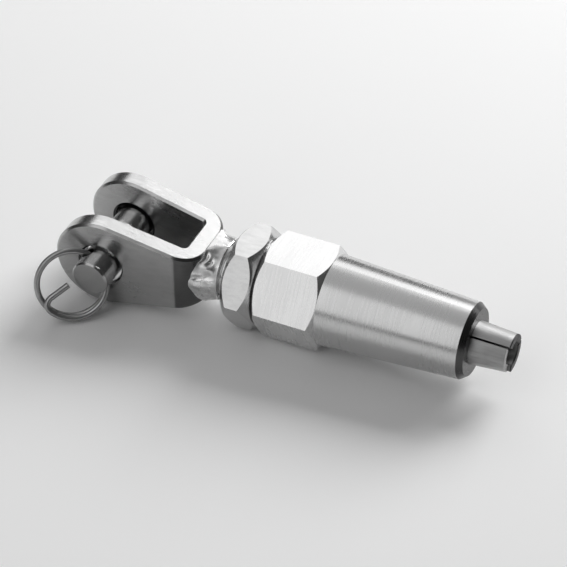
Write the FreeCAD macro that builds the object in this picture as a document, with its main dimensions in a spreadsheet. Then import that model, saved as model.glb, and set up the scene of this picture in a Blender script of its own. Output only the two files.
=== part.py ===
import FreeCAD, Part
import os
import Sketcher
from FreeCAD import Vector

# Swageless fork terminal for 6 mm wire rope.
# The terminal's axis is X and the rope enters from +X. The clevis pin lies along Y with its free end
# and its split ring at -Y. Z is up. The origin is where the pin's axis crosses the terminal's axis.

doc = FreeCAD.newDocument("RopeForkTerminal")

# Driving dimensions in millimetres and degrees
sizes = [
    ("eyeRadius", 12.6, "outer radius of the fork's two eyes"),
    ("strapThickness", 5.0, "thickness of the strap that the fork is bent from"),
    ("gapAtPin", 13.4, "space between the arms at the pin's axis"),
    ("gapAtBase", 11.5, "space between the arms at the base"),
    ("baseInside", 21.55, "pin's axis to the inside of the base"),
    ("baseHalfHeight", 7.4, "half the strap's width at the outside of the base"),
    ("bendInside", 1.2, "inside radius of the strap's bends"),
    ("bendOutside", 7.0, "outside radius of the strap's bends"),
    ("edgeBevel", 0.6, "bevel along the strap's edges"),
    ("pinHoleRadius", 5.7, "hole for the pin in each eye"),
    ("pinHoleBevel", 0.5, "bevel of the pin holes"),
    ("pinRadius", 4.9, "clevis pin"),
    ("pinReach", 17.86, "pin's free end from the terminal's axis"),
    ("pinBevel", 0.4, "bevel of the pin's free end"),
    ("pinHeadRadius", 7.5, "head of the clevis pin"),
    ("pinHeadDepth", 3.5, "thickness of the pin's head"),
    ("pinHeadBevel", 0.5, "bevel of the pin's head"),
    ("pinHeadGap", 0.15, "running gap under the pin's head"),
    ("crossHoleRadius", 1.85, "hole for the ring through the pin"),
    ("crossHoleReach", 13.0, "cross hole from the terminal's axis"),
    ("crossHoleTurn", 36.07, "turn of the cross hole from upright"),
    ("wireRadius", 0.8, "wire of the split ring"),
    ("coilRadius", 8.87, "centre line of the split ring's coil"),
    ("coilSpacing", 1.7, "spacing of the coil's two turns where they begin to overlap"),
    ("coilFront", 162, "turn of the coil in front of the pin"),
    ("coilRear", 300, "turn of the coil behind the pin"),
    ("coilHang", 40, "swing of the ring away from the pin's end face"),
    ("coilDrop", -0.2, "shift of the coil along the cross hole"),
    ("wireBow", 0.93, "the wire's bow past the cross hole's axis"),
    ("tailLength", 2.0, "straight end of the wire behind"),
    ("legLength", 5.5, "straight end of the wire in front, bent in to the middle"),
    ("legBendRadius", 2.3, "bend between the coil and the front end"),
    ("legBendTurn", 106, "turn of that bend"),
    ("studRadius", 8.0, "threaded stud, M16"),
    ("studLength", 54.45, "stud from the base to its tip"),
    ("studBevel", 1.2, "bevel of the stud's tip"),
    ("weldFoot", 9.9, "weld's radius on the base"),
    ("weldMiddle", 9.2, "weld's radius half way along"),
    ("weldToe", 8.3, "weld's radius where it ends on the stud"),
    ("weldLength", 4.4, "length of the weld along the stud"),
    ("weldWrap", 3.6, "how far the weld reaches back round the strap's bends"),
    ("nutStandoff", 7.15, "base to the lock nut"),
    ("nutThickness", 8.0, "lock nut"),
    ("acrossFlats", 24.0, "spanner size of nut and sleeve"),
    ("nutFaceRadius", 11.55, "flat end faces of the lock nut"),
    ("nutTurn", 29.35, "turn of the nut's first corner from +Z towards -Y"),
    ("threadGap", 0.08, "radial gap between the stud and the threads on it"),
    ("threadBevel", 0.5, "countersink of the threaded bores"),
    ("hexLength", 17.8, "hexagon of the sleeve"),
    ("hexTurn", 28.0, "turn of the sleeve's first corner from +Z towards -Y"),
    ("hexFaceRadius", 10.6, "flat end face of the hexagon"),
    ("hexBevelSlope", 0.684, "length of the hexagon's bevels for 1 mm of radius"),
    ("barrelRoot", 11.85, "barrel's radius beside the hexagon"),
    ("barrelLength", 36.84, "tapered barrel"),
    ("barrelTip", 9.92, "barrel's radius at its small end"),
    ("mouthRadius", 8.73, "rim of the sleeve's mouth"),
    ("mouthLength", 1.52, "length of the bevel at the mouth"),
    ("threadDepth", 40.6, "threaded bore of the sleeve"),
    ("jawTipRadius", 4.93, "jaws' outer radius at the rope's end"),
    ("jawSlope", 0.0708, "growth of the jaws' radius for 1 mm of length"),
    ("jawLength", 26.0, "length of the jaws"),
    ("jawStandoff", 0.86, "stud's tip to the jaws"),
    ("jawGap", 0.05, "radial gap between the jaws and their seat"),
    ("jawBevel", 0.3, "bevel of the jaws' ends"),
    ("ropeRadius", 3.0, "rope bore between the jaws"),
    ("slotWidth", 0.55, "slot between two jaws"),
    ("slotTurn", 35.9, "turn of the first slot from +Z towards -Y"),
    ("frontSetBack", 0.8, "how much deeper the front jaw sits"),
    ("grooveStart", 2.14, "big end of the jaws to the groove of their ring"),
    ("grooveWidth", 2.2, "groove of the jaws' ring"),
    ("grooveRadius", 4.75, "bottom of that groove"),
    ("jawRingInside", 5.4, "inner radius of the jaws' ring"),
    ("jawRingOutside", 6.4, "outer radius of the jaws' ring"),
    ("jawRingWidth", 1.0, "width of the jaws' ring"),
]

sheet = doc.addObject("Spreadsheet::Sheet", "Sizes")
for row, (name, value, note) in enumerate(sizes, start=1):
    sheet.set(f"A{row}", name)
    sheet.set(f"B{row}", str(value))
    sheet.set(f"C{row}", note)
    sheet.setAlias(f"B{row}", name)
doc.recompute()

# Places along the terminal's axis that several pieces share
base_outside = "(Sizes.baseInside + Sizes.strapThickness)"
nut_start = f"({base_outside} + Sizes.nutStandoff)"
sleeve_start = f"({nut_start} + Sizes.nutThickness)"
hex_end = f"({sleeve_start} + Sizes.hexLength)"
barrel_end = f"({hex_end} + Sizes.barrelLength)"
stud_tip = f"({base_outside} + Sizes.studLength)"
jaw_start = f"({stud_tip} + Sizes.jawStandoff)"
jaw_end = f"({jaw_start} + Sizes.jawLength)"

# Shapes that several pieces share
full_turn = 360
flats = 6
jaw_count = 3
half_third = full_turn / jaw_count / 2
splay = "((Sizes.gapAtPin - Sizes.gapAtBase) / 2 / Sizes.baseInside)"
strap_across = f"(Sizes.strapThickness * sqrt(1 + {splay} * {splay}))"
corner_radius = f"(Sizes.acrossFlats / 2 / cos({full_turn / flats / 2} deg))"
thread_bore = "(Sizes.studRadius + Sizes.threadGap)"
half_slot = "(Sizes.slotWidth / 2)"
beyond = "(2 * Sizes.acrossFlats)"

# How near two places count as the same, and the cosine above which two faces count as tangent
same_place = 0.01
tangent_cosine = 0.999


def number(expression):
    return float(sheet.evalExpression(expression))


def origin_plane(body, role):
    return [plane for plane in body.Origin.OriginFeatures if plane.Role == role][0]


def new_body(label):
    body = doc.addObject("PartDesign::Body", label.title().replace("_", ""))
    body.Label = label
    return body


def new_sketch(body, name, role):
    sketch = body.newObject("Sketcher::SketchObject", name)
    sketch.AttachmentSupport = (origin_plane(body, role), "")
    sketch.MapMode = "FlatFace"
    return sketch


# Holds the start of a line at a place given by two expressions
def hold_corner(sketch, line, across, along):
    for kind, expression in (("DistanceX", across), ("DistanceY", along)):
        index = sketch.addConstraint(Sketcher.Constraint(kind, -1, 1, line, 1, number(expression)))
        sketch.setExpression(f"Constraints[{index}]", expression)


# Draws a closed outline of straight lines through corners given by expressions
def draw_outline(sketch, corners):
    first = sketch.GeometryCount
    places = [Vector(number(across), number(along), 0) for across, along in corners]
    for start, end in zip(places, places[1:] + places[:1]):
        sketch.addGeometry(Part.LineSegment(start, end))
    lines = list(range(first, sketch.GeometryCount))
    for line, following in zip(lines, lines[1:] + lines[:1]):
        sketch.addConstraint(Sketcher.Constraint("Coincident", line, 2, following, 1))
    for line, (across, along) in zip(lines, corners):
        hold_corner(sketch, line, across, along)


# Draws a circle on the sketch's upright axis, at the height and with the radius given by expressions
def draw_circle(sketch, radius, height="0"):
    centre = Vector(0, number(height), 0)
    circle = sketch.addGeometry(Part.Circle(centre, Vector(0, 0, 1), number(radius)))
    for kind, expression in (("DistanceX", "0"), ("DistanceY", height)):
        index = sketch.addConstraint(Sketcher.Constraint(kind, -1, 1, circle, 3, number(expression)))
        sketch.setExpression(f"Constraints[{index}]", expression)
    index = sketch.addConstraint(Sketcher.Constraint("Radius", circle, number(radius)))
    sketch.setExpression(f"Constraints[{index}]", radius)


# Turns a half section about the sketch's level axis, or about its upright axis
def turn_section(body, name, role, axis, corners):
    sketch = new_sketch(body, f"{name}Section", role)
    draw_outline(sketch, corners)
    turned = body.newObject("PartDesign::Revolution", name)
    turned.Profile = sketch
    turned.ReferenceAxis = (sketch, [axis])
    turned.Angle = full_turn
    doc.recompute()
    return turned


def cut_through(body, name, sketch):
    before = body.Shape.Volume
    pocket = body.newObject("PartDesign::Pocket", name)
    pocket.Profile = sketch
    pocket.Type = "ThroughAll"
    pocket.Midplane = True
    doc.recompute()
    if body.Shape.Volume >= before:
        raise ValueError(f"{name} cuts nothing")
    return pocket


def edge_names(feature, wanted):
    edges = enumerate(feature.Shape.Edges, start=1)
    return [f"Edge{index}" for index, edge in edges if wanted(edge)]


def edge_middle(edge):
    return edge.valueAt((edge.FirstParameter + edge.LastParameter) / 2)


# Cuts six flats: what lies outside the hexagon goes, over the whole piece or from a plane back to its end
def cut_hexagon(body, name, turn, plane_at=None, length=None):
    sketch = new_sketch(body, f"{name}Outline", "YZ_Plane")
    draw_circle(sketch, beyond)
    corners = []
    for corner in range(flats):
        angle = f"({turn} + {full_turn / flats * corner}) * 1 deg"
        corners.append((f"-{corner_radius} * sin({angle})", f"{corner_radius} * cos({angle})"))
    draw_outline(sketch, corners)
    if plane_at is None:
        return cut_through(body, name, sketch)
    sketch.setExpression("AttachmentOffset.Base.z", plane_at)
    before = body.Shape.Volume
    pocket = body.newObject("PartDesign::Pocket", name)
    pocket.Profile = sketch
    pocket.setExpression("Length", length)
    doc.recompute()
    if body.Shape.Volume >= before:
        raise ValueError(f"{name} cuts nothing")
    return pocket


# Fork yoke: one strap bent into a U, with round eyes, tapered sides and bevelled edges
def make_yoke():
    body = new_body("fork_yoke")

    # The strap seen from above, with sharp corners and arms that spread a little
    bar = new_sketch(body, "StrapFromAbove", "XY_Plane")
    inside_end = f"(Sizes.gapAtPin / 2 + Sizes.eyeRadius * {splay})"
    inside_base = "(Sizes.gapAtBase / 2)"
    outside_end = f"({inside_end} + {strap_across})"
    outside_base = f"({inside_base} - Sizes.strapThickness * {splay} + {strap_across})"
    draw_outline(bar, [
        ("-Sizes.eyeRadius", f"-{outside_end}"),
        ("-Sizes.eyeRadius", f"-{inside_end}"),
        ("Sizes.baseInside", f"-{inside_base}"),
        ("Sizes.baseInside", inside_base),
        ("-Sizes.eyeRadius", inside_end),
        ("-Sizes.eyeRadius", outside_end),
        (base_outside, outside_base),
        (base_outside, f"-{outside_base}"),
    ])
    pad = body.newObject("PartDesign::Pad", "Strap")
    pad.Profile = bar
    pad.Midplane = True
    pad.setExpression("Length", "2 * Sizes.eyeRadius")
    doc.recompute()

    # Bends, rounder outside than inside
    def upright_at(place):
        def wanted(edge):
            height = abs(edge.Vertexes[0].Z - edge.Vertexes[-1].Z)
            return abs(edge_middle(edge).x - number(place)) < same_place and height > same_place
        return wanted
    outer = body.newObject("PartDesign::Fillet", "OutsideBends")
    outer.Base = (pad, edge_names(pad, upright_at(base_outside)))
    outer.setExpression("Radius", "Sizes.bendOutside")
    doc.recompute()
    inner = body.newObject("PartDesign::Fillet", "InsideBends")
    inner.Base = (outer, edge_names(outer, upright_at("Sizes.baseInside")))
    inner.setExpression("Radius", "Sizes.bendInside")
    doc.recompute()

    # Side outline: a round eye and straight sides that leave it on a tangent, cut through both arms
    outline = new_sketch(body, "SideOutline", "XZ_Plane")
    reach = number("Sizes.eyeRadius")
    base_x = number(base_outside)
    base_z = number("Sizes.baseHalfHeight")
    eye = outline.addGeometry(Part.Arc(Vector(0, reach, 0), Vector(-reach, 0, 0), Vector(0, -reach, 0)))
    top = outline.addGeometry(Part.LineSegment(Vector(0, reach, 0), Vector(base_x, base_z, 0)))
    bottom = outline.addGeometry(Part.LineSegment(Vector(0, -reach, 0), Vector(base_x, -base_z, 0)))
    back = outline.addGeometry(Part.LineSegment(Vector(base_x, base_z, 0), Vector(base_x, -base_z, 0)))
    outline.addConstraint(Sketcher.Constraint("Coincident", eye, 3, -1, 1))
    radius = outline.addConstraint(Sketcher.Constraint("Radius", eye, reach))
    outline.setExpression(f"Constraints[{radius}]", "Sizes.eyeRadius")
    upper = min((1, 2), key=lambda end: -outline.getPoint(eye, end).y)
    outline.addConstraint(Sketcher.Constraint("Tangent", eye, upper, top, 1))
    outline.addConstraint(Sketcher.Constraint("Tangent", eye, 3 - upper, bottom, 1))
    outline.addConstraint(Sketcher.Constraint("Coincident", top, 2, back, 1))
    outline.addConstraint(Sketcher.Constraint("Coincident", bottom, 2, back, 2))
    outline.addConstraint(Sketcher.Constraint("Symmetric", top, 2, bottom, 2, -1))
    for kind, expression in (("DistanceX", base_outside), ("DistanceY", "Sizes.baseHalfHeight")):
        index = outline.addConstraint(Sketcher.Constraint(kind, -1, 1, top, 2, number(expression)))
        outline.setExpression(f"Constraints[{index}]", expression)
    draw_outline(outline, [
        (f"-{beyond}", f"-{beyond}"),
        (f"-{beyond}", beyond),
        (beyond, beyond),
        (beyond, f"-{beyond}"),
    ])
    shaped = cut_through(body, "Sides", outline)

    # Bevel along both edges of the strap, all round, wherever two faces meet at a corner
    def corner_edge(edge):
        middle = edge_middle(edge)
        faces = shaped.Shape.ancestorsOfType(edge, Part.Face)
        normals = [face.normalAt(*face.Surface.parameter(middle)) for face in faces]
        return abs(normals[0].dot(normals[-1])) < tangent_cosine
    bevel = body.newObject("PartDesign::Chamfer", "EdgeBevel")
    bevel.Base = (shaped, edge_names(shaped, corner_edge))
    bevel.setExpression("Size", "Sizes.edgeBevel")
    doc.recompute()

    # Pin holes through both eyes, with a bevel at each rim
    circle = new_sketch(body, "PinHoleOutline", "XZ_Plane")
    draw_circle(circle, "Sizes.pinHoleRadius")
    holes = cut_through(body, "PinHoles", circle)

    def hole_rim(edge):
        points = [vertex.Point for vertex in edge.Vertexes] + [edge_middle(edge)]
        heights = [Vector(point.x, 0, point.z).Length for point in points]
        off = max(abs(height - number("Sizes.pinHoleRadius")) for height in heights)
        spread = max(point.y for point in points) - min(point.y for point in points)
        return off < same_place and spread < number("Sizes.strapThickness / 2")
    rims = body.newObject("PartDesign::Chamfer", "PinHoleBevel")
    rims.Base = (holes, edge_names(holes, hole_rim))
    rims.setExpression("Size", "Sizes.pinHoleBevel")
    doc.recompute()
    return body


# Clevis pin: turned about Y, with a head behind the far arm and a cross hole near its free end
def make_pin():
    body = new_body("clevis_pin")
    head = f"(Sizes.gapAtPin / 2 + {strap_across} + Sizes.pinHeadRadius * {splay} + Sizes.pinHeadGap)"
    top = f"({head} + Sizes.pinHeadDepth)"
    turn_section(body, "Pin", "XY_Plane", "V_Axis", [
        ("0", "-Sizes.pinReach"),
        ("Sizes.pinRadius - Sizes.pinBevel", "-Sizes.pinReach"),
        ("Sizes.pinRadius", "-Sizes.pinReach + Sizes.pinBevel"),
        ("Sizes.pinRadius", head),
        ("Sizes.pinHeadRadius", head),
        ("Sizes.pinHeadRadius", f"{top} - Sizes.pinHeadBevel"),
        ("Sizes.pinHeadRadius - Sizes.pinHeadBevel", top),
        ("0", top),
    ])
    circle = new_sketch(body, "CrossHoleOutline", "XY_Plane")
    draw_circle(circle, "Sizes.crossHoleRadius", "-Sizes.crossHoleReach")
    circle.AttachmentOffset = FreeCAD.Placement(Vector(0, 0, 0), FreeCAD.Rotation(Vector(0, 1, 0), -1))
    circle.setExpression("AttachmentOffset.Rotation.Angle", "Sizes.crossHoleTurn")
    circle.setExpression("AttachmentOffset.Rotation.Axis.y", "-1")
    cut_through(body, "CrossHole", circle)
    return body


# Steps of a chain of placements, each written as an expression
def turned(axis, angle):
    return f"placement(vector(0; 0; 0); rotation(vector({axis}); {angle}))"


def moved(x, y, z):
    return f"placement(vector({x}; {y}; {z}); rotation(vector(0; 0; 1); 0))"


def place(item, *steps):
    item.setExpression("Placement", " * ".join(steps))


# Split ring: one wire coiled in two flat halves that lean apart from where they meet, so the two turns lie
# side by side where they overlap. The front half passes through the cross hole, and its end is bent in to
# the coil's middle. The rear half ends in a straight tail. The wire is drawn about the coil's own centre,
# with X towards the cross hole, and then set on the pin.
def make_ring():
    half_turn = "((Sizes.coilFront + Sizes.coilRear) / 2)"
    meeting = "((Sizes.coilRear - Sizes.coilFront) / 2)"
    lean = f"(asin(Sizes.coilSpacing / 2 / Sizes.coilRadius / (1 - cos({half_turn} * 1 deg))) / 1 deg)"
    at_hole = f"(Sizes.coilRadius * (1 - cos({meeting} * 1 deg)) * sin({lean} * 1 deg))"
    about_x = "1; 0; 0"
    about_y = "0; 1; 0"
    about_z = "0; 0; 1"

    def coil_plane(angle):
        return [
            turned(about_z, meeting),
            moved("Sizes.coilRadius", "0", "0"),
            turned(about_y, angle),
            moved("-Sizes.coilRadius", "0", "0"),
        ]

    def wire_arc(name, radius, angle, *steps):
        arc = doc.addObject("Part::Torus", name)
        arc.setExpression("Radius1", radius)
        arc.setExpression("Radius2", "Sizes.wireRadius")
        arc.setExpression("Angle3", angle)
        place(arc, *steps)
        return arc

    def wire_rod(name, length, *steps):
        rod = doc.addObject("Part::Cylinder", name)
        rod.setExpression("Radius", "Sizes.wireRadius")
        rod.setExpression("Height", length)
        place(rod, *steps)
        return rod

    front_end = coil_plane(lean) + [turned(about_z, f"-{half_turn}")]
    front = wire_arc("CoilFront", "Sizes.coilRadius", half_turn, *front_end)
    bend_place = front_end + [
        moved("Sizes.coilRadius - Sizes.legBendRadius", "0", "0"),
        turned(about_z, "-Sizes.legBendTurn"),
    ]
    bend = wire_arc("LegBend", "Sizes.legBendRadius", "Sizes.legBendTurn", *bend_place)
    leg_place = bend_place + [moved("Sizes.legBendRadius", "0", "0"), turned(about_x, "90")]
    leg = wire_rod("WireLeg", "Sizes.legLength", *leg_place)

    rear_plane = coil_plane(f"-{lean}")
    rear = wire_arc("CoilRear", "Sizes.coilRadius", half_turn, *rear_plane)
    rear_end = rear_plane + [turned(about_z, half_turn), moved("Sizes.coilRadius", "0", "0")]
    tail = wire_rod("WireTail", "Sizes.tailLength", *rear_end, turned(about_x, "-90"))
    doc.recompute()

    ring = doc.addObject("Part::MultiFuse", "CotterRing")
    ring.Shapes = [front, rear, bend, leg, tail]
    ring.Label = "cotter_ring"
    place(
        ring,
        moved("0", "-Sizes.crossHoleReach", "0"),
        turned(about_y, "-Sizes.crossHoleTurn"),
        turned(about_x, "90"),
        turned(about_y, "Sizes.coilHang"),
        moved("Sizes.wireBow - Sizes.coilRadius", "-Sizes.coilDrop", f"-{at_hole}"),
    )
    doc.recompute()
    return ring


# Threaded stud: its thread's outside is the plain cylinder
def make_stud():
    body = new_body("threaded_stud")
    turn_section(body, "Stud", "XZ_Plane", "H_Axis", [
        (base_outside, "0"),
        (base_outside, "Sizes.studRadius"),
        (f"{stud_tip} - Sizes.studBevel", "Sizes.studRadius"),
        (stud_tip, "Sizes.studRadius - Sizes.studBevel"),
        (stud_tip, "0"),
    ])
    return body


# Weld bead: a turned collar on the stud that also fills in behind the strap's bends. What would stand over
# the strap's edges is cut off, and the strap itself is cut out of it, so that it fits the bends.
def make_weld(yoke):
    body = new_body("weld_collar")
    turn_section(body, "Weld", "XZ_Plane", "H_Axis", [
        (f"{base_outside} - Sizes.weldWrap", "Sizes.studRadius"),
        (f"{base_outside} - Sizes.weldWrap", "Sizes.weldFoot"),
        (base_outside, "Sizes.weldFoot"),
        (f"{base_outside} + Sizes.weldLength / 2", "Sizes.weldMiddle"),
        (f"{base_outside} + Sizes.weldLength", "Sizes.weldToe"),
        (f"{base_outside} + Sizes.weldLength", "Sizes.studRadius"),
    ])
    over = new_sketch(body, "OverTheEdges", "XZ_Plane")
    for side in ("", "-"):
        draw_outline(over, [
            ("0", f"{side}Sizes.baseHalfHeight"),
            ("0", f"{side}{beyond}"),
            (base_outside, f"{side}{beyond}"),
            (base_outside, f"{side}Sizes.baseHalfHeight"),
        ])
    cut_through(body, "EdgesKeptFree", over)
    weld = doc.addObject("Part::Cut", "WeldBead")
    weld.Base = body
    weld.Tool = yoke
    weld.Label = "weld_bead"
    doc.recompute()
    return weld


# Lock nut: a turned ring with 45 degree bevels, then six flats
def make_nut():
    body = new_body("lock_nut")
    bevel = f"({corner_radius} - Sizes.nutFaceRadius)"
    turn_section(body, "NutBlank", "XZ_Plane", "H_Axis", [
        (f"{nut_start} + Sizes.threadBevel", thread_bore),
        (nut_start, f"{thread_bore} + Sizes.threadBevel"),
        (nut_start, "Sizes.nutFaceRadius"),
        (f"{nut_start} + {bevel}", corner_radius),
        (f"{sleeve_start} - {bevel}", corner_radius),
        (sleeve_start, "Sizes.nutFaceRadius"),
        (sleeve_start, f"{thread_bore} + Sizes.threadBevel"),
        (f"{sleeve_start} - Sizes.threadBevel", thread_bore),
    ])
    cut_hexagon(body, "NutFlats", "Sizes.nutTurn")
    return body


# The cone that the jaws sit in, at a place along the axis
def seat_radius(at):
    return f"(Sizes.jawTipRadius + ({jaw_end} - ({at})) * Sizes.jawSlope + Sizes.jawGap)"


# Body sleeve: hexagon, tapered barrel, threaded bore and the cone that closes the jaws
def make_sleeve():
    body = new_body("body_sleeve")
    left_bevel = f"(({corner_radius} - Sizes.hexFaceRadius) * Sizes.hexBevelSlope)"
    right_bevel = f"(({corner_radius} - Sizes.barrelRoot) * Sizes.hexBevelSlope)"
    thread_end = f"({sleeve_start} + Sizes.threadDepth)"
    mouth = f"({barrel_end} + Sizes.mouthLength)"
    turn_section(body, "SleeveBlank", "XZ_Plane", "H_Axis", [
        (f"{sleeve_start} + Sizes.threadBevel", thread_bore),
        (sleeve_start, f"{thread_bore} + Sizes.threadBevel"),
        (sleeve_start, "Sizes.hexFaceRadius"),
        (f"{sleeve_start} + {left_bevel}", corner_radius),
        (f"{hex_end} - {right_bevel}", corner_radius),
        (hex_end, "Sizes.barrelRoot"),
        (barrel_end, "Sizes.barrelTip"),
        (mouth, "Sizes.mouthRadius"),
        (mouth, seat_radius(mouth)),
        (thread_end, seat_radius(thread_end)),
        (thread_end, thread_bore),
    ])
    cut_hexagon(body, "SleeveFlats", "Sizes.hexTurn", hex_end, "Sizes.hexLength")
    return body


# Jaws: three thirds of a tapered collet. Each is turned whole, cut to its third, and turned to its place.
def make_jaw(label, third, set_back):
    body = new_body(label)
    big_end = "Sizes.jawTipRadius + Sizes.jawLength * Sizes.jawSlope"
    groove_start = f"({jaw_start} + Sizes.grooveStart)"
    groove_end = f"({groove_start} + Sizes.grooveWidth)"
    outer_start = f"({big_end} - Sizes.grooveStart * Sizes.jawSlope)"
    outer_end = f"({outer_start} - Sizes.grooveWidth * Sizes.jawSlope)"
    turn_section(body, f"{body.Name}Collet", "XZ_Plane", "H_Axis", [
        (f"{jaw_start} + Sizes.jawBevel", "Sizes.ropeRadius"),
        (jaw_start, "Sizes.ropeRadius + Sizes.jawBevel"),
        (jaw_start, f"{big_end} - Sizes.jawBevel"),
        (f"{jaw_start} + Sizes.jawBevel", f"{big_end} - Sizes.jawBevel * Sizes.jawSlope"),
        (groove_start, outer_start),
        (groove_start, "Sizes.grooveRadius"),
        (groove_end, "Sizes.grooveRadius"),
        (groove_end, outer_end),
        (jaw_end, "Sizes.jawTipRadius"),
        (jaw_end, "Sizes.ropeRadius + Sizes.jawBevel"),
        (f"{jaw_end} - Sizes.jawBevel", "Sizes.ropeRadius"),
    ])

    # What lies outside the third goes: its two sides run half a slot inside the dividing planes
    tip = f"({half_slot} / sin({half_third} deg))"
    side = f"({beyond} * sin({half_third} deg))"
    rise = f"({tip} + {beyond} * cos({half_third} deg))"
    outside = new_sketch(body, f"{body.Name}Outside", "YZ_Plane")
    draw_outline(outside, [
        ("0", tip),
        (side, rise),
        (side, f"-{beyond}"),
        (f"-{side}", f"-{beyond}"),
        (f"-{side}", rise),
    ])
    cut_through(body, f"{body.Name}Third", outside)
    turn = f"Sizes.slotTurn + {full_turn / jaw_count * third - half_third}"
    place(body, turned("1; 0; 0", turn), moved(f"-{set_back}", "0", "0"))
    doc.recompute()
    return body


# Ring that holds the three jaws together, in a groove round their big ends
def make_jaw_ring():
    body = new_body("jaw_retaining_ring")
    middle = f"({jaw_start} + Sizes.grooveStart + Sizes.grooveWidth / 2 - Sizes.frontSetBack / 2)"
    turn_section(body, "JawRing", "XZ_Plane", "H_Axis", [
        (f"{middle} - Sizes.jawRingWidth / 2", "Sizes.jawRingInside"),
        (f"{middle} - Sizes.jawRingWidth / 2", "Sizes.jawRingOutside"),
        (f"{middle} + Sizes.jawRingWidth / 2", "Sizes.jawRingOutside"),
        (f"{middle} + Sizes.jawRingWidth / 2", "Sizes.jawRingInside"),
    ])
    return body


yoke = make_yoke()
parts = [
    yoke,
    make_stud(),
    make_weld(yoke),
    make_pin(),
    make_ring(),
    make_nut(),
    make_sleeve(),
    make_jaw("jaw_top", 0, "0"),
    make_jaw("jaw_front", 1, "Sizes.frontSetBack"),
    make_jaw("jaw_rear", 2, "0"),
    make_jaw_ring(),
]

# Nothing is written unless every object recomputed and every piece is one sound solid
doc.recompute()
for item in doc.Objects:
    if "Invalid" in item.State or "Error" in item.State:
        raise ValueError(f"{item.Name} did not recompute: {item.State}")
for part in parts:
    shape = part.Shape
    if shape.isNull() or not shape.isValid() or len(shape.Solids) != 1:
        raise ValueError(f"{part.Label} is not one valid solid")

os.makedirs("parts", exist_ok=True)
for part in parts:
    box = part.Shape.BoundBox
    part.Shape.exportStep(f"parts/{part.Label}.step")
    print(
        f"{part.Label}: {part.Shape.Volume:.1f} mm3,",
        f"x {box.XMin:.2f} to {box.XMax:.2f},",
        f"y {box.YMin:.2f} to {box.YMax:.2f},",
        f"z {box.ZMin:.2f} to {box.ZMax:.2f}",
    )
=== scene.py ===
import math

import bpy
import numpy as np
from mathutils import Matrix, Vector


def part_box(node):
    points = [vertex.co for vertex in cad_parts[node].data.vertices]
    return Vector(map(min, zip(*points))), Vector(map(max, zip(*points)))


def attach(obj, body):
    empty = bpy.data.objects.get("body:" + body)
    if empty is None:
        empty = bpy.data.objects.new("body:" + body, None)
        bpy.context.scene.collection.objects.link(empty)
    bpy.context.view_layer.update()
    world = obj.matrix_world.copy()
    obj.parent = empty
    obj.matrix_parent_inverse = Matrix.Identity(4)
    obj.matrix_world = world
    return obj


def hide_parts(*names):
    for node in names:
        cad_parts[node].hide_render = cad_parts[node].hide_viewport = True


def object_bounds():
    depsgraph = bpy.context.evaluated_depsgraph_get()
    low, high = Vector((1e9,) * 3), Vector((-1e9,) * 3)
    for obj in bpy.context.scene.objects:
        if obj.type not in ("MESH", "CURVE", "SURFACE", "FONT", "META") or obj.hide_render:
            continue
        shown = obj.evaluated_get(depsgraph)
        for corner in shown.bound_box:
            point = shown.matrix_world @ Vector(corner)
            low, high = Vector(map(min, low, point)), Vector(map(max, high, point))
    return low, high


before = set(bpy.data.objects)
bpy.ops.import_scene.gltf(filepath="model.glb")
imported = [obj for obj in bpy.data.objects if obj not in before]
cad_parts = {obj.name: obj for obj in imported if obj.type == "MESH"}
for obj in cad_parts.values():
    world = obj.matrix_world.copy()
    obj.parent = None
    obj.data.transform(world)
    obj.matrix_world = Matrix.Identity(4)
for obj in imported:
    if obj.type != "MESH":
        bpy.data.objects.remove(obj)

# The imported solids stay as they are. This script finishes them and adds the thread and the weld.
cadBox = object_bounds()
mm = 0.001    # the sizes below are in mm, apart from those that a note gives in metres
print("frame loaded:", len(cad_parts), "nodes")


# Camera
cameraLook = {
    "target": (48.17, 0.0, 0.0),    # a point of the terminal's axis, mm
    "aroundZ": 25.612,              # degrees
    "above": 41.098,
    "roll": -1.004,
    "distance": 634.7,              # mm
    "aside": 2.060,                 # how far the view's middle is from the target, mm
    "upward": -1.070,
    "lens": 160.35,                 # mm, as is the sensor
    "sensor": 36.0,
    "nearest": 0.01,                # nothing nearer is drawn, m
}


def addCamera(look):
    # back points from the target to the camera; right and upright span the picture, turned by the roll
    around, above, roll = (math.radians(look[key]) for key in ("aroundZ", "above", "roll"))
    outward = math.cos(above)
    back = Vector((math.sin(around) * outward, -math.cos(around) * outward, math.sin(above)))
    level = Vector((math.cos(around), math.sin(around), 0))
    steep = back.cross(level)
    right = level * math.cos(roll) + steep * math.sin(roll)
    upright = steep * math.cos(roll) - level * math.sin(roll)
    place = Vector(look["target"]) + back * look["distance"]
    place -= right * look["aside"] + upright * look["upward"]
    turned = Matrix((right, upright, back)).transposed().to_4x4()
    camera = bpy.data.objects.new("camera", bpy.data.cameras.new("camera"))
    camera.matrix_world = Matrix.Translation(place * mm) @ turned
    camera.data.lens = look["lens"]
    camera.data.sensor_width = look["sensor"]
    camera.data.clip_start = look["nearest"]
    bpy.context.scene.collection.objects.link(camera)
    bpy.context.scene.camera = camera


addCamera(cameraLook)
scene = bpy.context.scene
scene.view_settings.view_transform = "Standard"
print("camera set")


# Small helpers for node materials
def newMaterial(name):
    material = bpy.data.materials.new(name)
    material.use_nodes = True
    return material, material.node_tree.nodes["Principled BSDF"]


def feed(tree, socket, value):
    # value is a number, a vector or another node's output
    if isinstance(value, bpy.types.NodeSocket):
        tree.links.new(value, socket)
    else:
        socket.default_value = value


def addNode(tree, kind, inputs, **settings):
    # settings are the node's own properties, and inputs go by the names of its sockets
    node = tree.nodes.new(kind)
    for name, value in settings.items():
        setattr(node, name, value)
    for name, value in inputs.items():
        feed(tree, node.inputs[name], value)
    return node


def addMath(tree, operation, *values):
    node = addNode(tree, "ShaderNodeMath", {}, operation=operation)
    for socket, value in zip(node.inputs, values):
        feed(tree, socket, value)
    return node.outputs["Value"]


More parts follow.
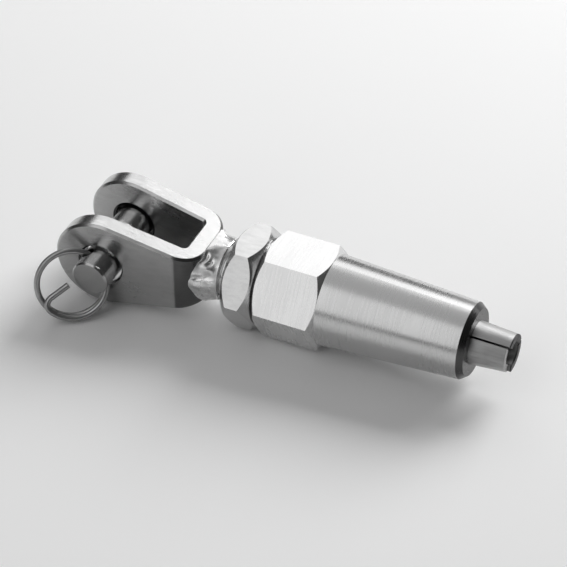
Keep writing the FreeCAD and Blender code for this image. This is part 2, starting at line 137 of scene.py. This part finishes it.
def addStep(tree, source, start, full, before, after):
    # a smooth change from before to after while the source goes from start to full
    inputs = {"Value": source, "From Min": start, "From Max": full, "To Min": before, "To Max": after}
    step = addNode(tree, "ShaderNodeMapRange", inputs, interpolation_type="SMOOTHSTEP")
    return step.outputs["Result"]


def addNoise(tree, vector, scale, detail, rough):
    inputs = {"Vector": vector, "Scale": scale, "Detail": detail, "Roughness": rough}
    return addNode(tree, "ShaderNodeTexNoise", inputs).outputs["Fac"]


def objectPlace(tree, scale=(1, 1, 1)):
    # the piece's own coordinates; a scale under 1 draws a pattern out along that axis
    place = tree.nodes.new("ShaderNodeTexCoord")
    mapping = addNode(tree, "ShaderNodeMapping", {"Vector": place.outputs["Object"], "Scale": scale})
    return mapping.outputs["Vector"]


def splitPlace(tree, coordinate):
    # the X, Y and Z parts of one of the texture coordinates
    place = tree.nodes.new("ShaderNodeTexCoord")
    return addNode(tree, "ShaderNodeSeparateXYZ", {"Vector": place.outputs[coordinate]}).outputs


# What all the steels share
steelLook = {
    "clouds": (3.0, 0.5),           # detail and roughness of the two noises
    "grain": (4.0, 0.6),
    "cloudPart": 0.5,               # how much of each is in the mixture
    "grainPart": 0.5,
    "ramp": (0.3, 0.7),             # colour and roughness change while the mixture is between these
    "side": (0.2, 0.8),             # where the measure of each facing starts, and where it is full
    "bend": (0.06, 0.18),
}


def addRamp(tree, source, first, last):
    # the brightness eases from first to last over the ramp's two places
    ramp = addNode(tree, "ShaderNodeValToRGB", {"Fac": source})
    ramp.color_ramp.interpolation = "EASE"
    for element, place, value in zip(ramp.color_ramp.elements, steelLook["ramp"], (first, last)):
        element.position = place
        element.color = (value, value, value, 1)
    return ramp.outputs["Color"]


def darken(tree, color, share):
    inputs = {"Factor": 1.0, "A": color, "B": share}
    mix = addNode(tree, "ShaderNodeMix", inputs, data_type="RGBA", blend_type="MULTIPLY")
    return mix.outputs["Result"]


def addZones(tree, color, zones):
    # each zone darkens what lies past a place on the X axis; soft is half the width of its edge
    along = splitPlace(tree, "Object")["X"]
    for zone in zones:
        start, full = (zone["past"] - zone["soft"]) * mm, (zone["past"] + zone["soft"]) * mm
        color = darken(tree, color, addStep(tree, along, start, full, 1.0, zone["shade"]))
    return color


def addPaintedFacingShade(tree, color, paintedShadeFacings):
    # A flat side is known by the size of its normal's Y part, and a bend between a flat side and the end
    # that faces +X by that size times the normal's X part. Each facing darkens its own kind with painted
    # shade for a dark reflection.
    normal = splitPlace(tree, "Normal")
    sideways = addMath(tree, "ABSOLUTE", normal["Y"])
    measures = {"side": sideways, "bend": addMath(tree, "MULTIPLY", sideways, normal["X"])}
    for kind, shade in paintedShadeFacings.items():
        color = darken(tree, color, addStep(tree, measures[kind], *steelLook[kind], 1.0, shade))
    return color


def steelMaterial(finish):
    # Colour and roughness vary about their middle values, by plus or minus the spread, with a mixture of
    # two noises, soft clouds and fine grain. The grain is drawn out along the axes where grainStretch is
    # under 1, and it is the bump as well.
    material, shader = newMaterial(finish["name"])
    tree = material.node_tree
    clouds = addNoise(tree, objectPlace(tree), finish["cloudScale"], *steelLook["clouds"])
    drawnOut = objectPlace(tree, finish["grainStretch"])
    grain = addNoise(tree, drawnOut, finish["grainScale"], *steelLook["grain"])
    cloudy = addMath(tree, "MULTIPLY", clouds, steelLook["cloudPart"])
    grainy = addMath(tree, "MULTIPLY", grain, steelLook["grainPart"])
    mixture = addMath(tree, "ADD", cloudy, grainy)
    middle, spread = finish["color"]
    color = addRamp(tree, mixture, middle - spread, middle + spread)
    if "zones" in finish:
        color = addZones(tree, color, finish["zones"])
    # painted shade on flat sides and bends, by the way the surface faces
    if "paintedShadeFacings" in finish:
        color = addPaintedFacingShade(tree, color, finish["paintedShadeFacings"])
    middle, spread = finish["roughness"]
    roughness = addRamp(tree, mixture, middle + spread, middle - spread)
    strength, depth = finish["bump"]
    bump = addNode(tree, "ShaderNodeBump", {"Strength": strength, "Distance": depth, "Height": grain})
    feed(tree, shader.inputs["Base Color"], color)
    feed(tree, shader.inputs["Roughness"], roughness)
    feed(tree, shader.inputs["Normal"], bump.outputs["Normal"])
    shader.inputs["Metallic"].default_value = 1.0
    return material


def finishNode(name, material):
    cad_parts[name].data.materials.clear()
    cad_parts[name].data.materials.append(material)


# In each finish, color and roughness are a middle value and a spread, and bump is a strength and a depth
# in metres.
# Fork: polished strap
forkFinish = {
    "name": "forkSteel", "color": (0.57, 0.05), "roughness": (0.24, 0.05), "bump": (0.1, 0.0002),
    "cloudScale": 110.0, "grainScale": 900.0, "grainStretch": (0.3, 1, 1),
    # the flat sides are painted darker than the edges, and the bends by the weld darker still: painted
    # shade for dark reflections
    "paintedShadeFacings": {"side": 0.74, "bend": 0.3},
}
finishNode("fork_yoke", steelMaterial(forkFinish))

# Clevis pin: turned and polished, with fine rings round it; its flat ends are painted darker, painted
# shade for a dark reflection
pinFinish = {
    "name": "pinSteel", "color": (0.60, 0.04), "roughness": (0.22, 0.05), "bump": (0.06, 0.0002),
    "cloudScale": 120.0, "grainScale": 1400.0, "grainStretch": (0.2, 1, 0.2),
    "paintedShadeFacings": {"side": 0.6},
}
finishNode("clevis_pin", steelMaterial(pinFinish))

# Split ring: drawn wire
wireFinish = {
    "name": "wireSteel", "color": (0.37, 0.03), "roughness": (0.32, 0.05), "bump": (0.05, 0.0001),
    "cloudScale": 300.0, "grainScale": 1500.0, "grainStretch": (1, 1, 1),
}
finishNode("cotter_ring", steelMaterial(wireFinish))

# Lock nut: streaks along the axis
nutFinish = {
    "name": "nutSteel", "color": (0.58, 0.03), "roughness": (0.22, 0.04), "bump": (0.04, 0.0002),
    "cloudScale": 120.0, "grainScale": 900.0, "grainStretch": (0.3, 1, 1),
}
finishNode("lock_nut", steelMaterial(nutFinish))

# Body sleeve: satin, turned, with fine lines round it
sleeveStart, sleeveTip = (corner[0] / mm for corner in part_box("body_sleeve"))
hexLength = 17.8
mouthLength = 1.51    # of the bevel round the mouth
sleeveFinish = {
    "name": "sleeveSteel", "color": (0.73, 0.02), "roughness": (0.27, 0.03), "bump": (0.03, 0.0002),
    "cloudScale": 80.0, "grainScale": 2000.0, "grainStretch": (1, 0.05, 0.05),
    # the barrel is a shade darker than the hexagon, and the bevel at the mouth is painted dark: painted
    # shade for a dark reflection
    "zones": [
        {"past": sleeveStart + hexLength, "soft": 0.2, "shade": 0.83},
        {"past": sleeveTip - mouthLength, "soft": 0.1, "shade": 0.12},
    ],
}
finishNode("body_sleeve", steelMaterial(sleeveFinish))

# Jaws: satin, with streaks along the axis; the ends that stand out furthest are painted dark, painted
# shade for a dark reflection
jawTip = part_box("jaw_top")[1][0] / mm
# how far back from the tip the painted shade reaches, mm
paintedShadeEnd = 0.36
jawFinish = {
    "name": "jawSteel", "color": (0.38, 0.07), "roughness": (0.46, 0.06), "bump": (0.12, 0.0002),
    "cloudScale": 150.0, "grainScale": 1500.0, "grainStretch": (0.06, 1, 1),
    "zones": [{"past": jawTip - paintedShadeEnd, "soft": 0.1, "shade": 0.15}],
}
jawSteel = steelMaterial(jawFinish)
for node in ("jaw_top", "jaw_front", "jaw_rear"):
    finishNode(node, jawSteel)

# Retaining ring round the jaws: plain spring steel, hidden in the sleeve
springFinish = {
    "name": "springSteel", "color": (0.45, 0.04), "roughness": (0.3, 0.04), "bump": (0.05, 0.0001),
    "cloudScale": 200.0, "grainScale": 1200.0, "grainStretch": (1, 0.2, 0.2),
}
finishNode("jaw_retaining_ring", steelMaterial(springFinish))
print("solids finished")


# New pieces are grids of points: rows along the axis, columns round it
def addSurface(name, points):
    # points holds a ring of columns x 3 for each row; quads join each ring to the next all the way round
    rows, columns = points.shape[:2]
    down = np.arange(rows - 1)[:, None] * columns
    here = down + np.arange(columns)
    beside = down + (np.arange(columns) + 1) % columns
    quads = np.stack([here, beside, beside + columns, here + columns], axis=-1)
    mesh = bpy.data.meshes.new(name)
    mesh.from_pydata(points.reshape(-1, 3) * mm, [], quads.reshape(-1, 4))
    mesh.polygons.foreach_set("use_smooth", np.ones(len(mesh.polygons), bool))
    mesh.update()
    piece = bpy.data.objects.new(name, mesh)
    scene.collection.objects.link(piece)
    return piece


def anglesRound(count):
    # one row of angles that share out a whole turn
    return np.linspace(0, 2 * np.pi, count, endpoint=False)[None, :]


def roundGrid(along, radius, angles):
    # a point's y is minus its radius times the sine of the angle, and its z the radius times the cosine,
    # so the angle runs from +Z towards -Y
    x = np.broadcast_to(along, radius.shape)
    return np.stack([x, -radius * np.sin(angles), radius * np.cos(angles)], axis=-1)


# Threaded stud; crest and root are the shares of the pitch that stay flat
studShape = {
    "start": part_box("threaded_stud")[0][0] / mm,
    "tip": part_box("threaded_stud")[1][0] / mm,
    "radius": 8.0, "pitch": 2.0, "depth": 1.1, "crest": 0.18, "root": 0.25,
    "plainLength": 2.5, "bevel": 1.2, "around": 96, "steps": 14,
}


def makeStud(shape):
    # The radius falls from the crest to the root by a trapezoid wave of x / pitch + angle / 2 pi, and the
    # plus sign makes the thread left-handed. The cut sets in over one pitch after the plain length, and a
    # bevel of 45 degrees ends the stud.
    start, tip, pitch, full = (shape[key] for key in ("start", "tip", "pitch", "radius"))
    rows = int((tip - start) / pitch * shape["steps"])
    along = np.linspace(start, tip, rows + 1)[:, None]
    angles = anglesRound(shape["around"])
    phase = (along / pitch + angles / (2 * np.pi)) % 1.0
    flank = np.abs(phase - 0.5) * 2
    cut = np.clip((flank - shape["crest"]) / (1 - shape["crest"] - shape["root"]), 0, 1)
    runIn = np.clip((along - start - shape["plainLength"]) / pitch, 0, 1)
    runOut = np.clip((tip - along) / shape["bevel"], 0, 1)
    threaded = full - shape["depth"] * cut * runIn
    radius = np.minimum(threaded, full - shape["bevel"] * (1 - runOut))
    grid = roundGrid(along, radius, angles)
    low, high = grid[:1].copy(), grid[-1:].copy()
    low[..., 1:] = 0
    high[..., 1:] = 0
    return addSurface("threadedStud", np.concatenate([low, grid, high]))


studFinish = {
    "name": "studSteel", "color": (0.6, 0.05), "roughness": (0.25, 0.05), "bump": (0.05, 0.0002),
    "cloudScale": 150.0, "grainScale": 1200.0, "grainStretch": (1, 0.2, 0.2),
}
stud = makeStud(studShape)
stud.data.materials.append(steelMaterial(studFinish))
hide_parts("threaded_stud")
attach(stud, "fork")
print("stud threaded")


# Weld bead, sizes in mm
weldShape = {
    "base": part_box("threaded_stud")[0][0] / mm,
    "end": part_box("weld_bead")[1][0] / mm,
    # the strap's end is flat up to bendMiddle from the axis and round beyond; above and below edge, with
    # edgeSoft to change in, the foot keeps to the flat
    "bendMiddle": 3.75, "bendRadius": 7.0, "edge": 7.4, "edgeSoft": 1.4,
    # radius at the foot and at the toe, power of the fall, least radius, radius of the wall in the stud
    "foot": 9.45, "toe": 8.12, "hollow": 1.6, "inside": 8.03, "inner": 7.2,
    "top": 8.45, "topSoft": 0.4, "around": 288, "rows": 56,
    # each lump: place along (0 to 1), angle from +Z towards -Y, width along, width round, height in mm
    "lumps": [
        (0.10, 38, 0.14, 8, -0.9), (0.50, 46, 0.10, 5, -0.45), (0.50, 57, 0.30, 8, 0.40),
        (0.25, 76, 0.25, 5, -0.45), (0.65, 70, 0.20, 5, -0.35), (0.80, 92, 0.20, 12, 0.40),
        (0.30, 92, 0.20, 8, 0.20), (0.15, 112, 0.25, 12, -0.50), (0.50, 122, 0.20, 10, 0.30),
        (0.50, -40, 0.20, 14, -0.30), (0.35, -75, 0.20, 16, 0.20), (0.65, -110, 0.20, 18, -0.30),
        (0.40, 165, 0.25, 20, 0.20),
    ],
    # each wave: number round the bead, height in mm, drift from foot to toe in radians
    "waves": [(9, 0.05, 2.0), (17, 0.05, -3.5), (31, 0.02, 5.0)],
}


def makeWeld(shape):
    # The radius falls from foot to toe by (1 - place) to the power hollow. Each lump is a smooth hill or
    # pit added to it, height x exp(-(along / width along) ^ 2 - (round / width round) ^ 2) with the
    # distances from its middle, and each wave adds height x sin(number x angle + drift x place). Both fade
    # out at the ends by the root of sin(pi x place). The foot lies on the fork: flat between the bends, on
    # their round beyond, and flat again past edge. The bead levels off above and below: what is over
    # top - topSoft becomes topSoft x (1 - exp(-over / topSoft)).
    base, foot, bend = shape["base"], shape["foot"], shape["bendRadius"]
    place = np.linspace(0, 1, shape["rows"])[:, None]
    angles = anglesRound(shape["around"])
    radius = shape["toe"] + (foot - shape["toe"]) * (1 - place) ** shape["hollow"]
    fade = np.sqrt(np.sin(np.pi * place))
    for at, turn, wide, spread, height in shape["lumps"]:
        away = (np.degrees(angles) - turn + 180) % 360 - 180
        radius = radius + height * fade * np.exp(-((place - at) / wide) ** 2 - (away / spread) ** 2)
    for number, height, drift in shape["waves"]:
        radius = radius + height * fade * np.sin(number * angles + drift * place)
    radius = np.clip(radius, shape["inside"], foot)
    past = np.clip(np.abs(foot * np.sin(angles)) - shape["bendMiddle"], 0, bend)
    onBend = base - bend + np.sqrt(bend ** 2 - past ** 2)
    upward = np.abs(foot * np.cos(angles))
    free = np.clip((upward - shape["edge"] + shape["edgeSoft"]) / shape["edgeSoft"], 0, 1)
    start = onBend + (base - onBend) * free ** 2 * (3 - 2 * free)
    along = start + (shape["end"] - start) * place
    grid = roundGrid(along, radius, angles)
    level = grid[..., 2]
    over = np.clip(np.abs(level) - shape["top"] + shape["topSoft"], 0, None)
    eased = shape["topSoft"] * (1 - np.exp(-over / shape["topSoft"]))
    grid[..., 2] = np.sign(level) * (np.abs(level) - over + eased)
    inner = np.full_like(radius[:1], shape["inner"])
    front = roundGrid(along[-1:], inner, angles)
    back = roundGrid(along[:1], inner, angles)
    return addSurface("weldBead", np.concatenate([back, grid, front, back]))


weldFinish = {
    "name": "weldMetal", "color": (0.70, 0.1), "roughness": (0.3, 0.06), "bump": (0.3, 0.0002),
    "cloudScale": 350.0, "grainScale": 700.0, "grainStretch": (1, 1, 1),
}
weld = makeWeld(weldShape)
weld.data.materials.append(steelMaterial(weldFinish))
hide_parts("weld_bead")
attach(weld, "fork")
print("weld laid")


# Floor: a square that the terminal's lowest point touches; half is half its side in metres
floorLook = {"half": 3.0, "color": 0.95, "roughness": 0.9, "specular": 0.1}
sides = ((-1, -1), (1, -1), (1, 1), (-1, 1))
corners = [(x * floorLook["half"], y * floorLook["half"], cadBox[0][2]) for x, y in sides]
floorMesh = bpy.data.meshes.new("floor")
floorMesh.from_pydata(corners, [], [(0, 1, 2, 3)])
floor = bpy.data.objects.new("floor", floorMesh)
scene.collection.objects.link(floor)
floorPaint, floorShader = newMaterial("floorPaint")
floorShader.inputs["Base Color"].default_value = (floorLook["color"],) * 3 + (1,)
floorShader.inputs["Roughness"].default_value = floorLook["roughness"]
floorShader.inputs["Specular IOR Level"].default_value = floorLook["specular"]
floor.data.materials.append(floorPaint)

# Softboxes round the terminal: way points from lampAim to the box, away is how far, and size is its length
# along X and its width, in metres
lampAim = Vector((48.0 * mm, 0, 0))
lamps = {
    "backBox": {"way": (-0.326, 0.735, 0.595), "away": 0.9, "size": (0.65, 0.43), "level": 1.33},
    "frontBox": {"way": (-0.326, -0.724, 0.608), "away": 0.9, "size": (0.65, 1.12), "level": 0.95},
    "topBox": {"way": (-0.326, 0.14, 0.935), "away": 0.9, "size": (0.65, 0.88), "level": 0.42},
    "keyBox": {"way": (0.26, 0.80, 0.54), "away": 1.0, "size": (0.55, 0.6), "level": 8.8},
}


def addLamp(name, lamp):
    # an area lamp's brightness is its power over pi times its area; level is that brightness
    way = Vector(lamp["way"]).normalized()
    light = bpy.data.lights.new(name, "AREA")
    light.shape = "RECTANGLE"
    light.size, light.size_y = lamp["size"]
    light.energy = lamp["level"] * math.pi * lamp["size"][0] * lamp["size"][1]
    lightObject = bpy.data.objects.new(name, light)
    side = (Vector((1, 0, 0)) - way * way.x).normalized()
    turned = Matrix((side, way.cross(side), way)).transposed().to_4x4()
    lightObject.matrix_world = Matrix.Translation(lampAim + way * lamp["away"]) @ turned
    scene.collection.objects.link(lightObject)


for name, lamp in lamps.items():
    addLamp(name, lamp)

# The studio's walls: dim near the floor, a little brighter overhead; lowest and highest are the Z parts of
# the directions between which they change
studio = {"low": 0.04, "high": 0.12, "lowest": 0.1, "highest": 0.8}
world = bpy.data.worlds.new("studio")
scene.world = world
world.use_nodes = True
worldTree = world.node_tree
rise = splitPlace(worldTree, "Generated")["Z"]
walls = addStep(worldTree, rise, studio["lowest"], studio["highest"], studio["low"], studio["high"])
feed(worldTree, worldTree.nodes["Background"].inputs["Color"], walls)
print("studio lit")
